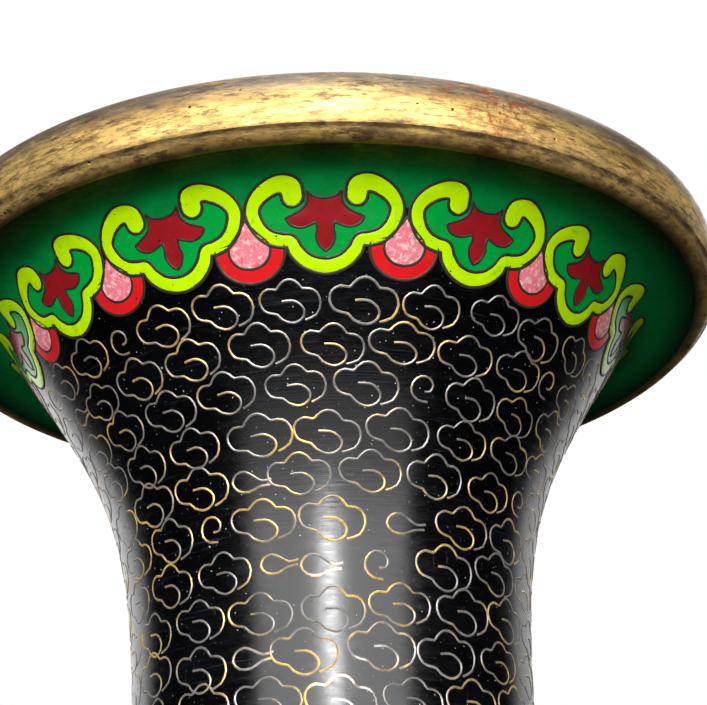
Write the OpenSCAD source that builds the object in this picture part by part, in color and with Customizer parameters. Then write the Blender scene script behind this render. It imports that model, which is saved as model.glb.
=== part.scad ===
// Cloisonne vase with a trumpet mouth: copper shells brazed end to end, brass rings at
// the mouth and foot, flat wire cells on the outside filled with fired enamel, and a
// counter-enamel coat inside. Millimetres, +Z up, origin at the middle of the foot.

/* [Vase] */
// Overall height, from the table to the top of the brass rim
height = 255; // [245:1:275]
// Radius of the brass rim at its upper and lower edges
rim_r = 46; // [45:0.5:48]
// Radius at the waist of the neck
waist_r = 21.1; // [19:0.1:24]
// Height of the waist of the neck
waist_z = 200; // [195:1:205]
// Largest radius of the body
body_r = 62; // [56:1:66]
// Height of the largest radius
body_z = 98; // [90:1:104]
// Radius of the ankle, where the body meets the foot
ankle_r = 37; // [34:0.5:39]
// Height of the ankle
ankle_z = 20; // [18:1:24]
// Outer radius of the copper foot, where it sits on the foot ring
foot_r = 42; // [41:0.5:44]

/* [Walls] */
// Thickness of the copper shells
copper_t = 1.0; // [0.8:0.1:1.2]
// Thickness of the enamel on the outside
enamel_t = 0.9; // [0.7:0.1:1.1]
// Thickness of the counter-enamel inside
lining_t = 0.4; // [0.3:0.1:0.5]

/* [Cells] */
// Number of cloud-collar heads round the mouth and round the shoulder
heads = 14; // [14:1:14]
// Number of lappets round the foot of the body
lappets = 20; // [16:1:22]
// Width of the cell wires
wire_w = 0.3; // [0.2:0.05:0.35]
// How far the band wires stand proud of the enamel
wire_proud = 0.06; // [0.02:0.01:0.1]

/* [Rings] */
// Height of the brass rim
rim_h = 6.3; // [5.5:0.1:7]
// How far the face of the rim bulges past its edges
rim_bulge = 0.45; // [0.2:0.05:0.6]
// Height of the brass foot ring
foot_ring_h = 4; // [3:0.5:5]
// Width of the round wires that edge the bands
band_wire_w = 0.5; // [0.4:0.1:0.7]

/* [Hidden] */
$fn = 96;

// Layer depths, measured inwards from the face of the enamel
glaze = 0;
copper_out = -enamel_t;
copper_in = copper_out - copper_t;
lining_in = copper_in - lining_t;

// ---- Outline of the enamel face: six Bezier spans from the mouth to the foot ----
mouth = [rim_r - 2.3, height - rim_h];
flare_top = [rim_r - 11.1, height - 9.4];
waist = [waist_r, waist_z];
neck_base = [waist_r + 3.5, waist_z - 48];
belly = [body_r, body_z];
ankle = [ankle_r, ankle_z];
foot_end = [foot_r, foot_ring_h];
SPANS = [
    [mouth, mouth + [-5.8, 1.6], flare_top + [2.7, 4.2], flare_top],
    [flare_top, flare_top + [-10, -14.9], waist + [0, 26.5], waist],
    [waist, waist + [0, -20], neck_base + [-2.0, 12], neck_base],
    [neck_base, neck_base + [2.6, -15.6], belly + [0, 38], belly],
    [belly, belly + [0, -32], ankle + [5, 24], ankle],
    [ankle, ankle + [-0.6, -3], foot_end + [0, 7], foot_end]
];
// Facets along each span: more where the line turns faster
STEPS = [6, 8, 6, 9, 8, 5];

function bez(p, t) = pow(1 - t, 3) * p[0] + 3 * pow(1 - t, 2) * t * p[1]
    + 3 * (1 - t) * t * t * p[2] + pow(t, 3) * p[3];
function bez_dir(p, t) = let (v = pow(1 - t, 2) * (p[1] - p[0])
    + 2 * (1 - t) * t * (p[2] - p[1]) + t * t * (p[3] - p[2])) v / norm(v);
// Point of the outline at place u (span number plus fraction), offset outwards by d
function at(u, d) = let (i = min(floor(u), 5), g = bez_dir(SPANS[i], u - i))
    bez(SPANS[i], u - i) + d * [-g.y, g.x];
// Places between u0 and u1: both ends and every facet line between them
function places(u0, u1) = concat([u0],
    [for (i = [0:5]) for (k = [0:STEPS[i] - 1]) let (u = i + k / STEPS[i])
        if (u > u0 + 0.001 && u < u1 - 0.001) u], [u1]);
// Where the facet lines of a span fall, as a place
function line(i, k) = i + k / STEPS[i];

// One layer of the wall, from place u0 to place u1 and from depth d0 out to depth d1
module skin(u0, u1, d0, d1) {
    us = places(u0, u1);
    n = len(us) - 1;
    rotate_extrude()
        polygon(concat([for (u = us) at(u, d1)], [for (k = [n:-1:0]) at(us[k], d0)]));
}

// ---- Places of the bands ----
neck_chain = 1.0;
chain_joint = 0.86;
chain_end = line(1, 2);
band_top = line(2, 5);
band_end = 3.0;
shoulder_top = line(3, 2);
shoulder_joint = line(3, 3) + 0.01;
shoulder_chain = line(3, 3) + 0.03;
shoulder_end = line(3, 5);
lappet_top = line(4, 5);
lappet_end = line(4, 7) + 0.1;

// ---- Flat outlines of the cells, x across, y up the wall ----
// Middle line and half width of the lime border, from one scroll end to the lobe
SCROLL = [
    [-3.1, 2.7, 0.95], [-3.35, 3.65, 0.92], [-4.6, 3.95, 0.83], [-6.3, 3.0, 0.72],
    [-7.05, 1.6, 0.6], [-6.5, 0, 0.55], [-5.5, -1.05, 0.55], [-4.3, -1.5, 0.55],
    [-3.35, -1.65, 0.5], [-2.8, -2.7, 0.58], [-1.65, -3.75, 0.6], [0, -4.2, 0.64]
];
LEAF = [
    [0, 2.35], [-1.05, 2.6], [-1.6, 3.1], [-1.6, 2.2], [-2.2, 1.4], [-3.1, 0.9],
    [-3.85, 0.6], [-3.3, -0.1], [-2.3, -0.4], [-1.4, -0.1], [-0.85, 0.1],
    [-0.8, -0.5], [-0.9, -1.2], [-0.6, -2.2], [0, -2.75]
];
// The same list followed by its mirror image
function both(p) = concat(p,
    [for (k = [len(p) - 2:-1:0]) [for (j = [0:len(p[0]) - 1]) j == 0 ? -p[k][0] : p[k][j]]]);
// Smooth curve through the points, n steps from each point to the next
function through(p, n) = let (m = len(p) - 1) concat([
    for (i = [0:m - 1]) for (k = [0:n - 1]) let (t = k / n, b = p[i], c = p[i + 1],
        a = i > 0 ? p[i - 1] : 2 * b - c, e = i < m - 1 ? p[i + 2] : 2 * c - b)
        0.5 * (2 * b + (c - a) * t + (2 * a - 5 * b + 4 * c - e) * t * t
            + (3 * b - a - 3 * c + e) * t * t * t)], [p[m]]);
function flat(p) = [p.x, p.y];
function heading(c, i) = let (v = flat(c[min(i + 1, len(c) - 1)]) - flat(c[max(i - 1, 0)]))
    v / norm(v);
function side(v) = [-v.y, v.x];
// Round end of a band: points from angle a0 to angle a1 about point c
function cap(c, r, a0, a1) = [for (k = [1:4]) flat(c) + r * [cos(a0 + (a1 - a0) * k / 5),
    sin(a0 + (a1 - a0) * k / 5)]];
function angle_of(v) = atan2(v.y, v.x);
// Outline of a band along curve c, widened by d, without the points that fall inside it
function band(c, d) = let (n = len(c) - 1, a0 = angle_of(heading(c, 0)),
    a1 = angle_of(heading(c, n)),
    raw = concat(
        [for (i = [0:n]) flat(c[i]) + (c[i].z + d) * side(heading(c, i))],
        cap(c[n], c[n].z + d, a1 + 90, a1 - 90),
        [for (i = [n:-1:0]) flat(c[i]) - (c[i].z + d) * side(heading(c, i))],
        cap(c[0], c[0].z + d, a0 - 90, a0 - 270)))
    [for (q = raw) if (min([for (s = c) norm(q - flat(s)) - s.z - d]) > -0.05) q];
// Outline p moved outwards by d, for a closed outline that runs anticlockwise
function widened(p, d) = let (n = len(p)) [for (i = [0:n - 1])
    let (a = p[(i + n - 1) % n], b = p[i], c = p[(i + 1) % n],
        u = (b - a) / norm(b - a), v = (c - b) / norm(c - b), m = side(u) + side(v))
    b - m * d * min(1 / (1 + u * v), 0.9)];

scroll_line = both(SCROLL);
// The last point of the mirrored leaf is its first one again
leaf_line = [for (k = [0:2 * len(LEAF) - 3]) both(LEAF)[k]];

module border_shape(d) {
    polygon(band(scroll_line, d));
}
// Everything inside the middle line of the border
module head_inside() {
    polygon([for (c = scroll_line) flat(c)]);
}
module leaf_shape(d) {
    polygon(widened(leaf_line, d));
}
// Whole head, wires included, without the bay above the leaf
module head_shape() {
    border_shape(wire_w);
    head_inside();
}
// Bead: round below, drawn up to a point between two scrolls
module bead_shape(d) {
    r = 1.85;
    polygon(widened(concat([for (a = [180:20:360]) [r * cos(a), r * sin(a) - 2.1]],
        [[1.6, -1.25], [1.0, -0.6], [0.3, 0.2], [0, 0.6],
        [-0.3, 0.2], [-1.0, -0.6], [-1.6, -1.25]]), d));
}
module crescent_shape(d) {
    polygon([for (a = [170:10:370]) [(3.2 + d) * cos(a), (3.2 + d) * sin(a) - 2.1]]);
}
// Lappet: a petal that stands on the ankle band, narrowed by d on every side
module lappet_shape(d) {
    tip = through([[5.5 - d, -1], [4.9 - d, 4], [2.2 - d / 2, 7.5], [0, 9.5 - 1.4 * d]], 3);
    polygon(concat([[-5.1 + d, -8.5 + d], [5.1 - d, -8.5 + d]],
        tip, [for (k = [len(tip) - 2:-1:0]) [-tip[k].x, tip[k].y]]));
}

// Stands a flat shape on the wall at place u, n times round, the first at angle a0
module stand(u, n, a0) {
    p = at(u, 0);
    g = bez_dir(SPANS[floor(u)], u - floor(u));
    reach = 4;
    for (k = [0:n - 1])
        rotate([0, 0, a0 + 360 * k / n])
            translate([p.x, 0, p.y])
                rotate([0, atan2(-g.x, -g.y), 0])
                    rotate([90, 0, 90])
                        translate([0, 0, -reach])
                            linear_extrude(2 * reach)
                                children();
}
// Cells of one chain: the flat shape cut out of the enamel layer between two places
module cells(u, n, a0, from, to) {
    intersection() {
        skin(from, to, copper_out, glaze);
        stand(u, n, a0)
            children();
    }
}
head_pitch = 360 / heads;
front = -90;
module neck_cells(a0) {
    cells(neck_chain, heads, a0, line(0, 2), chain_end)
        children();
}
module shoulder_cells() {
    cells(shoulder_chain, heads, front, shoulder_top, shoulder_end)
        children();
}

// ---- Copper ----
// A copper section between two places
module shell(u0, u1) {
    skin(u0, u1, copper_in, copper_out);
}
// Tongue of copper that enters the groove of the rim
module rim_tongue() {
    g = bez_dir(SPANS[0], 0);
    rotate_extrude()
        polygon([at(0, copper_out), at(0, copper_in), at(0, copper_in) - g, at(0, copper_out) - g]);
}
module neck_shell() {
    color("#a8643c") {
        union() {
            shell(0, band_end);
            rim_tongue();
        }
    }
}
module shoulder_shell() {
    color("#a8643c")
        shell(3, 4);
}
module belly_shell() {
    color("#9c5b36")
        shell(4, 5);
}
module foot_shell() {
    color("#a8643c")
        shell(5, 6);
}
// The plate closes the body along the first inner facet of the foot
module base_plate() {
    a = at(line(5, 0), copper_in);
    b = at(line(5, 1), copper_in);
    color("#9c5b36")
        rotate_extrude()
            polygon([[0, b.y], b, a, [0, a.y]]);
}

// ---- Brass ----
// The rim is a turned ring: a bulging face, a crease, and a narrow return that meets the
// enamel, with a groove behind for the copper
module mouth_rim() {
    face_half = 2.85;
    face_depth = 0.7;
    g = bez_dir(SPANS[0], 0);
    out = at(0, copper_out);
    inn = at(0, copper_in);
    top = height;
    color("#b08d4a")
        rotate_extrude()
            polygon(concat(
                [mouth, [rim_r - 1.0, top - 6.3], [rim_r - 0.38, top - 5.8],
                [rim_r - 0.42, top - 5.68]],
                [for (a = [-70:20:70]) [rim_r + rim_bulge - face_depth * (1 - cos(a)),
                    top - face_half + face_half * sin(a)]],
                [[rim_r + rim_bulge - face_depth, top], [rim_r - 2.2, top - 0.1],
                [rim_r - 2.6, top - 0.6], at(0, lining_in) + [-0.6, 0.5], at(0, lining_in),
                inn, inn - g, out - g, out]));
}
module foot_ring() {
    h = foot_ring_h;
    color("#b08d4a")
        rotate_extrude()
            polygon(concat([[foot_r - 3, h], [foot_r - 3.4, h - 0.5], [foot_r - 3.4, 0.5],
                [foot_r - 2.9, 0], [foot_r - 0.6, 0]],
                [for (a = [-60:15:60]) [foot_r - 0.3 + 0.9 * cos(a), h / 2 + 1.9 * sin(a)]],
                [[foot_r, h]]));
}
// Round wires that edge the bands, sunk in the enamel to depth bottom
module band_wire(u, bottom) {
    p = at(u, 0);
    g = bez_dir(SPANS[min(floor(u), 5)], u - min(floor(u), 5));
    n = side(g);
    w = band_wire_w / 2;
    rotate_extrude()
        polygon([p + w * g + bottom * n, p + w * g + wire_proud * n,
            p - w * g + wire_proud * n, p - w * g + bottom * n]);
}
foot_wire = line(5, 4);
BAND_WIRES = [band_top, band_end, lappet_end, foot_wire];
module band_wires() {
    color("#c49a55")
        for (u = BAND_WIRES)
            band_wire(u, copper_out);
}

// ---- Ground enamels ----
// An enamel layer between two places, with room for the band wires
module ground(u0, u1) {
    difference() {
        skin(u0, u1, copper_out, glaze);
        for (u = BAND_WIRES)
            if (u >= u0 - 0.01 && u <= u1 + 0.01)
                band_wire(u, copper_in);
    }
}
module neck_sockets() {
    stand(neck_chain, heads, front)
        head_shape();
}
// Room under the joint of two heads, for the bead, the crescent and their wires
module bead_sockets() {
    stand(neck_chain, heads, front + head_pitch / 2) {
        polygon([[3.3, -2.2], [2.6, -1.2], [0.9, 0.6], [0.4, 2.6], [-0.4, 2.6], [-0.9, 0.6],
            [-2.6, -1.2], [-3.3, -2.2]]);
        crescent_shape(wire_w);
    }
}
module collar_enamel() {
    color("#04602f")
        difference() {
            skin(0, chain_joint, copper_out, glaze);
            neck_sockets();
        }
}
module neck_enamel() {
    color("#0b0d12")
        difference() {
            ground(chain_joint, band_top);
            neck_sockets();
            bead_sockets();
        }
}
module neck_band_enamel() {
    color("#04602f")
        ground(band_top, band_end);
}
module shoulder_sockets() {
    stand(shoulder_chain, heads, front)
        head_shape();
}
module shoulder_collar_enamel() {
    color("#04602f")
        difference() {
            ground(3, shoulder_joint);
            shoulder_sockets();
        }
}
module body_enamel() {
    color("#0b0d12")
        difference() {
            skin(shoulder_joint, lappet_top, copper_out, glaze);
            shoulder_sockets();
        }
}
module lappet_ground_enamel() {
    color("#0b0d12")
        difference() {
            ground(lappet_top, lappet_end);
            stand(lappet_place, lappets, front)
                lappet_shape(0);
        }
}
module foot_enamel() {
    color("#04602f")
        ground(lappet_end, 6);
}

// ---- Cloud-collar heads ----
module fill_shape() {
    difference() {
        head_inside();
        border_shape(wire_w);
        leaf_shape(wire_w);
    }
}
module leaf_cell() {
    difference() {
        leaf_shape(0);
        border_shape(wire_w);
    }
}
module wire_net() {
    difference() {
        union() {
            border_shape(wire_w);
            leaf_shape(wire_w);
        }
        border_shape(0);
        leaf_cell();
    }
}
module neck_head_borders() {
    color("#b9d611")
        neck_cells(front)
            border_shape(0);
}
module neck_head_fills() {
    color("#0f9a44")
        neck_cells(front)
            fill_shape();
}
module neck_head_leaves() {
    color("#8c1d20")
        neck_cells(front)
            leaf_cell();
}
module neck_head_wires() {
    color("#6b5a3a")
        neck_cells(front)
            wire_net();
}
module shoulder_head_borders() {
    color("#b9d611")
        shoulder_cells()
            border_shape(0);
}
module shoulder_head_fills() {
    color("#0f9a44")
        shoulder_cells()
            difference() {
                head_inside();
                border_shape(wire_w);
            }
}
module pink_beads() {
    color("#f07a9c")
        difference() {
            neck_cells(front + head_pitch / 2)
                bead_shape(0);
            neck_sockets();
        }
}
module red_crescents() {
    color("#dd1a20")
        difference() {
            neck_cells(front + head_pitch / 2)
                difference() {
                    crescent_shape(0);
                    bead_shape(wire_w);
                }
            neck_sockets();
        }
}

// ---- Lappets ----
lappet_place = line(4, 6) + 0.04;
lappet_border_w = 1.1;
module lappet_cells() {
    cells(lappet_place, lappets, front, lappet_top, lappet_end)
        children();
}
module lappet_borders() {
    color("#b9d611")
        lappet_cells()
            difference() {
                lappet_shape(wire_w);
                lappet_shape(lappet_border_w);
            }
}
module lappet_fills() {
    color("#8c1d20")
        lappet_cells()
            lappet_shape(lappet_border_w + wire_w);
}

// ---- Counter-enamel ----
module neck_lining() {
    color("#2a8f95")
        skin(0, band_end, lining_in, copper_in);
}
module body_lining() {
    color("#2a8f95")
        skin(3, 5, lining_in, copper_in);
}
// Coat on the floor inside, up to the coat on the wall
module floor_lining() {
    a = at(5, lining_in);
    color("#2a8f95")
        translate([0, 0, at(5, copper_in).y])
            cylinder(r = a.x - 0.2, h = lining_t);
}
module base_counter_enamel() {
    b = at(line(5, 1), copper_in);
    color("#2a8f95")
        translate([0, 0, b.y - lining_t])
            cylinder(r = b.x - 0.3, h = lining_t);
}

neck_shell();
shoulder_shell();
belly_shell();
foot_shell();
base_plate();
mouth_rim();
foot_ring();
band_wires();
collar_enamel();
neck_enamel();
neck_band_enamel();
shoulder_collar_enamel();
body_enamel();
lappet_ground_enamel();
foot_enamel();
neck_head_borders();
neck_head_fills();
neck_head_leaves();
neck_head_wires();
pink_beads();
red_crescents();
shoulder_head_borders();
shoulder_head_fills();
lappet_borders();
lappet_fills();
neck_lining();
body_lining();
floor_lining();
base_counter_enamel();
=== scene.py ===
# Cloisonne vase: the looks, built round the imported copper, brass and enamel parts.
# Lengths inside this script are millimetres until a mesh is made, then metres.
import math
import random

import bpy
import numpy as np
from mathutils import Matrix, Vector


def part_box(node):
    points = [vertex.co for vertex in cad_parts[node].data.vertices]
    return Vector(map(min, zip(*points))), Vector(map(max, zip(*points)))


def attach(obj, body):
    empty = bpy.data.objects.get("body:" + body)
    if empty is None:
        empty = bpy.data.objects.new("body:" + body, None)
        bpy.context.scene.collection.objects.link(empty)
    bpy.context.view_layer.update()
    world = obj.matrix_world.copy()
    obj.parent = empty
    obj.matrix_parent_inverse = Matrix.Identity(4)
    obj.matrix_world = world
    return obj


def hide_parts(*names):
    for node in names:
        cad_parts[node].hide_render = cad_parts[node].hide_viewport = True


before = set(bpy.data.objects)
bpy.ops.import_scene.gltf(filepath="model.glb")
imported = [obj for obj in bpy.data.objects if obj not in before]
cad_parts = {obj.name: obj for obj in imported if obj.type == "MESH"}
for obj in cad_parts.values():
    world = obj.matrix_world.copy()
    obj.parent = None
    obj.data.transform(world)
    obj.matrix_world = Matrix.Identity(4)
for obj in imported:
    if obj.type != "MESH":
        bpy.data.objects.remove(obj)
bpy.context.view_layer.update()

MM = 0.001
TURN_STEPS = 256     # corners round a turned ring
SPAN_STEPS = 400     # points along each span of the wall's outline
CAP_STEPS = 6        # points in the round end of a band


# ---------------------------------------------------------------- the wall of the vase
def box_mm(node):
    low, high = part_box(node)
    return np.array(low) / MM, np.array(high) / MM


RIM_BULGE = 0.45
RIM_R = box_mm("mouth_rim")[1][0] - RIM_BULGE
RIM_H = 6.3
HEIGHT = box_mm("mouth_rim")[1][2]
WAIST_R, WAIST_Z = 21.1, 200
# A hair under the 62 mm of the solid body, to leave room for the wires on it
BODY_R = 61.93
BODY_Z = box_mm("belly_shell")[1][2]
ANKLE_R, ANKLE_Z = 37, 20
FOOT_R = 42.0
FOOT_RING_H = box_mm("foot_ring")[1][2]

# Thickness of each layer of the wall, and the depth of its two hidden faces
ENAMEL = 0.9
COPPER = 1.0
LINING = 0.4
COPPER_FACE = -ENAMEL - COPPER
LINING_FACE = COPPER_FACE - LINING


def point(x, z):
    return np.array([x, z], float)


mouth = point(RIM_R - 2.3, HEIGHT - RIM_H)
flare_top = point(RIM_R - 11.1, HEIGHT - 9.4)
waist = point(WAIST_R, WAIST_Z)
neck_base = waist + point(3.5, -48)
belly = point(BODY_R, BODY_Z)
ankle = point(ANKLE_R, ANKLE_Z)
foot_end = point(FOOT_R, FOOT_RING_H)
SPANS = [
    (mouth, mouth + point(-5.8, 1.6), flare_top + point(2.7, 4.2), flare_top),
    (flare_top, flare_top + point(-10, -14.9), waist + point(0, 26.5), waist),
    (waist, waist + point(0, -20), neck_base + point(-2, 12), neck_base),
    (neck_base, neck_base + point(2.6, -15.6), belly + point(0, 38), belly),
    (belly, belly + point(0, -32), ankle + point(5, 24), ankle),
    (ankle, ankle + point(-0.6, -3), foot_end + point(0, 7), foot_end),
]


def bezier(p, t):
    t = t[:, None]
    return ((1 - t) ** 3 * p[0] + 3 * (1 - t) ** 2 * t * p[1]
            + 3 * (1 - t) * t * t * p[2] + t ** 3 * p[3])


ALONG = np.linspace(0, 1, SPAN_STEPS, endpoint=False)
WALL = np.vstack([bezier(p, ALONG) for p in SPANS] + [foot_end])
STEP = np.hypot(*np.diff(WALL, axis=0).T)
WALL_S = np.r_[0, np.cumsum(STEP)]
WALL_DIR = np.gradient(WALL, WALL_S, axis=0)
WALL_DIR /= np.linalg.norm(WALL_DIR, axis=1)[:, None]
SPAN_S = WALL_S[::SPAN_STEPS]


def wall(s, rise=0.0):
    """Radius and height of the wall at distance s below the mouth, raised off it by rise."""
    r = np.interp(s, WALL_S, WALL[:, 0])
    z = np.interp(s, WALL_S, WALL[:, 1])
    dr = np.interp(s, WALL_S, WALL_DIR[:, 0])
    dz = np.interp(s, WALL_S, WALL_DIR[:, 1])
    return r - rise * dz, z + rise * dr


def wrap(flat, s0, azimuth):
    """Lays flat points (x across, y up, rise) on the wall, with y = 0 at s0."""
    s = s0 - flat[:, 1]
    across = np.interp(s, WALL_S, WALL[:, 0])
    r, z = wall(s, flat[:, 2])
    a = azimuth + flat[:, 0] / across
    return np.c_[r * np.cos(a), r * np.sin(a), z]


# ---------------------------------------------------------------- mesh helpers
def deselect():
    if bpy.context.object and bpy.context.object.mode != "OBJECT":
        bpy.ops.object.mode_set(mode="OBJECT")
    bpy.ops.object.select_all(action="DESELECT")


def pick(piece):
    deselect()
    piece.select_set(True)
    bpy.context.view_layer.objects.active = piece


def dress(piece, material, nodes=()):
    piece.data.materials.clear()
    piece.data.materials.append(material)
    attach(piece, "root")
    if nodes:
        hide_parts(*nodes)


def smooth(piece, degrees=35):
    pick(piece)
    bpy.ops.object.shade_smooth_by_angle(angle=math.radians(degrees))


def turned(name, outline, steps=TURN_STEPS):
    """A ring turned about the axis: one corner is drawn along the outline, then spun."""
    deselect()
    bpy.ops.mesh.primitive_plane_add(size=MM, location=(0, 0, 0))
    piece = bpy.context.object
    piece.name = name
    bpy.ops.object.mode_set(mode="EDIT")
    bpy.ops.mesh.select_all(action="SELECT")
    bpy.ops.mesh.merge(type="CENTER")
    x, z = outline[0]
    bpy.ops.transform.translate(value=(x * MM, 0, z * MM))
    for (x0, z0), (x1, z1) in zip(outline, list(outline[1:]) + [outline[0]]):
        bpy.ops.mesh.extrude_region_move(
            TRANSFORM_OT_translate={"value": ((x1 - x0) * MM, 0, (z1 - z0) * MM)})
    bpy.ops.mesh.select_all(action="SELECT")
    bpy.ops.mesh.spin(steps=steps, angle=2 * math.pi, center=(0, 0, 0), axis=(0, 0, 1))
    bpy.ops.mesh.select_all(action="SELECT")
    bpy.ops.mesh.remove_doubles(threshold=0.004 * MM)
    bpy.ops.mesh.normals_make_consistent(inside=False)
    bpy.ops.object.mode_set(mode="OBJECT")
    smooth(piece)
    return piece


def coat(s0, s1, top, bottom, step):
    """Section of a layer from s0 to s1, drawn finely on its top face only."""
    n = 3 * max(1, int(round((s1 - s0) / step / 3)))
    s = np.linspace(s0, s1, n + 1)
    outer = np.c_[wall(s, top)]
    inner = np.c_[wall(s[::3], bottom)]
    return [tuple(p) for p in outer] + [tuple(p) for p in inner[::-1]]


# ---------------------------------------------------------------- flat cells and wires
def through(points, n):
    """Smooth curve through the points, n steps from each to the next."""
    p = np.array(points, float)
    q = np.vstack([2 * p[0] - p[1], p, 2 * p[-1] - p[-2]])
    t = (np.arange(n) / n)[:, None]
    out = []
    for a, b, c, d in zip(q, q[1:], q[2:], q[3:]):
        out.append(0.5 * (2 * b + (c - a) * t + (2 * a - 5 * b + 4 * c - d) * t ** 2
                          + (3 * b - a - 3 * c + d) * t ** 3))
    return np.vstack(out + [p[-1:]])


def mirrored(points):
    """A left half, then the same points backwards on the right."""
    p = np.array(points, float)
    m = p[-2::-1].copy()
    m[:, 0] *= -1
    return np.vstack([p, m])


def evenly(line, step, closed=False):
    """The same line with its points about step apart."""
    p = np.vstack([line, line[:1]]) if closed else line
    d = np.r_[0, np.cumsum(np.linalg.norm(np.diff(p[:, :2], axis=0), axis=1))]
    n = max(4, int(round(d[-1] / step)))
    t = np.linspace(0, d[-1], n + 1)[:n if closed else n + 1]
    return np.column_stack([np.interp(t, d, p[:, k]) for k in range(p.shape[1])])


def sideways(line, closed=False):
    """Unit vectors across a line, one for each of its points."""
    if closed:
        t = np.roll(line[:, :2], -1, axis=0) - np.roll(line[:, :2], 1, axis=0)
    else:
        t = np.gradient(line[:, :2], axis=0)
    t /= np.maximum(np.linalg.norm(t, axis=1), 1e-9)[:, None]
    return np.c_[-t[:, 1], t[:, 0]]


def round_ends(line, steps=CAP_STEPS):
    """Adds a round end to both ends of a band given as x, y, half width."""
    out = [line]
    for end, before, flip in ((line[0], line[1], True), (line[-1], line[-2], False)):
        way = end[:2] - before[:2]
        way /= np.linalg.norm(way)
        a = np.arange(1, steps + 1) / steps * math.pi / 2
        a[-1] = math.radians(88)
        extra = np.c_[end[:2] + np.sin(a)[:, None] * end[2] * way, end[2] * np.cos(a)]
        out = [extra[::-1]] + out if flip else out + [extra]
    return np.vstack(out)


def edges_of(line, closed=False):
    """Left and right edges of a band, with the folds on tight bends drawn together.
    An open band has had its round ends added."""
    n = sideways(line, closed)
    body = line if closed else line[CAP_STEPS:-CAP_STEPS]
    sides = []
    for sign in (1, -1):
        e = line[:, :2] + sign * n * line[:, 2:3]
        gap = np.linalg.norm(e[:, None] - body[None, :, :2], axis=2) - body[None, :, 2]
        good = np.flatnonzero(gap.min(axis=1) > -0.04)
        if len(good) > 2:
            near = np.abs(np.arange(len(line))[:, None] - good[None]).argmin(axis=1)
            e = e[good[near]]
        sides.append(e)
    return sides


def ribbon(line, crown, depth, across=6, closed=False):
    """A crowned strip with walls and a floor along a band: vertices (x, y, rise), faces."""
    left, right = edges_of(line, closed=closed)
    v = np.linspace(-1, 1, across + 1)
    rows = []
    for k in v:
        xy = (left + right) / 2 - k * (left - right) / 2
        rise = np.full(len(line), crown * (1 - k * k))
        rows.append(np.c_[xy, rise])
    rows.append(np.c_[right, np.full(len(line), -depth)])
    rows.append(np.c_[left, np.full(len(line), -depth)])
    return strip(rows, closed)


def strip(rows, closed):
    """Joins rows of points into a tube; an open one gets an end face at each end."""
    m, n = len(rows), len(rows[0])
    verts = np.vstack(rows)
    faces = []
    for i in range(m):
        j = (i + 1) % m
        for k in range(n if closed else n - 1):
            l = (k + 1) % n
            faces.append((i * n + k, j * n + k, j * n + l, i * n + l))
    if not closed:
        faces.append(tuple(i * n for i in reversed(range(m))))
        faces.append(tuple(i * n + n - 1 for i in range(m)))
    return verts, faces


def patch(outline, centre, crown, depth, rings=6):
    """A crowned cell inside a closed outline that can be seen whole from its centre."""
    c = np.array(centre, float)
    n = len(outline)
    verts = [np.array([[*c, crown]])]
    for k in range(1, rings + 1):
        f = k / rings
        xy = c + (outline[:, :2] - c) * f
        verts.append(np.c_[xy, np.full(n, crown * (1 - f ** 4))])
    verts.append(np.c_[outline[:, :2], np.full(n, -depth)])
    verts.append(np.array([[*c, -depth]]))
    faces = [(0, 1 + k, 1 + (k + 1) % n) for k in range(n)]
    for r in range(rings):
        a, b = 1 + r * n, 1 + (r + 1) * n
        faces += [(a + k, b + k, b + (k + 1) % n, a + (k + 1) % n) for k in range(n)]
    last, tip = 1 + rings * n, 1 + (rings + 1) * n
    faces += [(tip, last + (k + 1) % n, last + k) for k in range(n)]
    return np.vstack(verts), faces


def laid(name, cells):
    """One mesh from many flat cells, each given with its place: (verts, faces), s0, azimuth."""
    verts, faces, base = [], [], 0
    for (flat, quads), s0, azimuth in cells:
        verts.append(wrap(flat, s0, azimuth))
        faces += [tuple(i + base for i in q) for q in quads]
        base += len(flat)
    mesh = bpy.data.meshes.new(name)
    mesh.from_pydata((np.vstack(verts) * MM).tolist(), [], faces)
    piece = bpy.data.objects.new(name, mesh)
    bpy.context.scene.collection.objects.link(piece)
    pick(piece)
    bpy.ops.object.mode_set(mode="EDIT")
    bpy.ops.mesh.select_all(action="SELECT")
    bpy.ops.mesh.remove_doubles(threshold=0.002 * MM)
    bpy.ops.mesh.normals_make_consistent(inside=False)
    bpy.ops.object.mode_set(mode="OBJECT")
    smooth(piece, 50)
    return piece


# ---------------------------------------------------------------- materials
RANGE_KEYS = ("From Min", "From Max", "To Min", "To Max")


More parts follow.
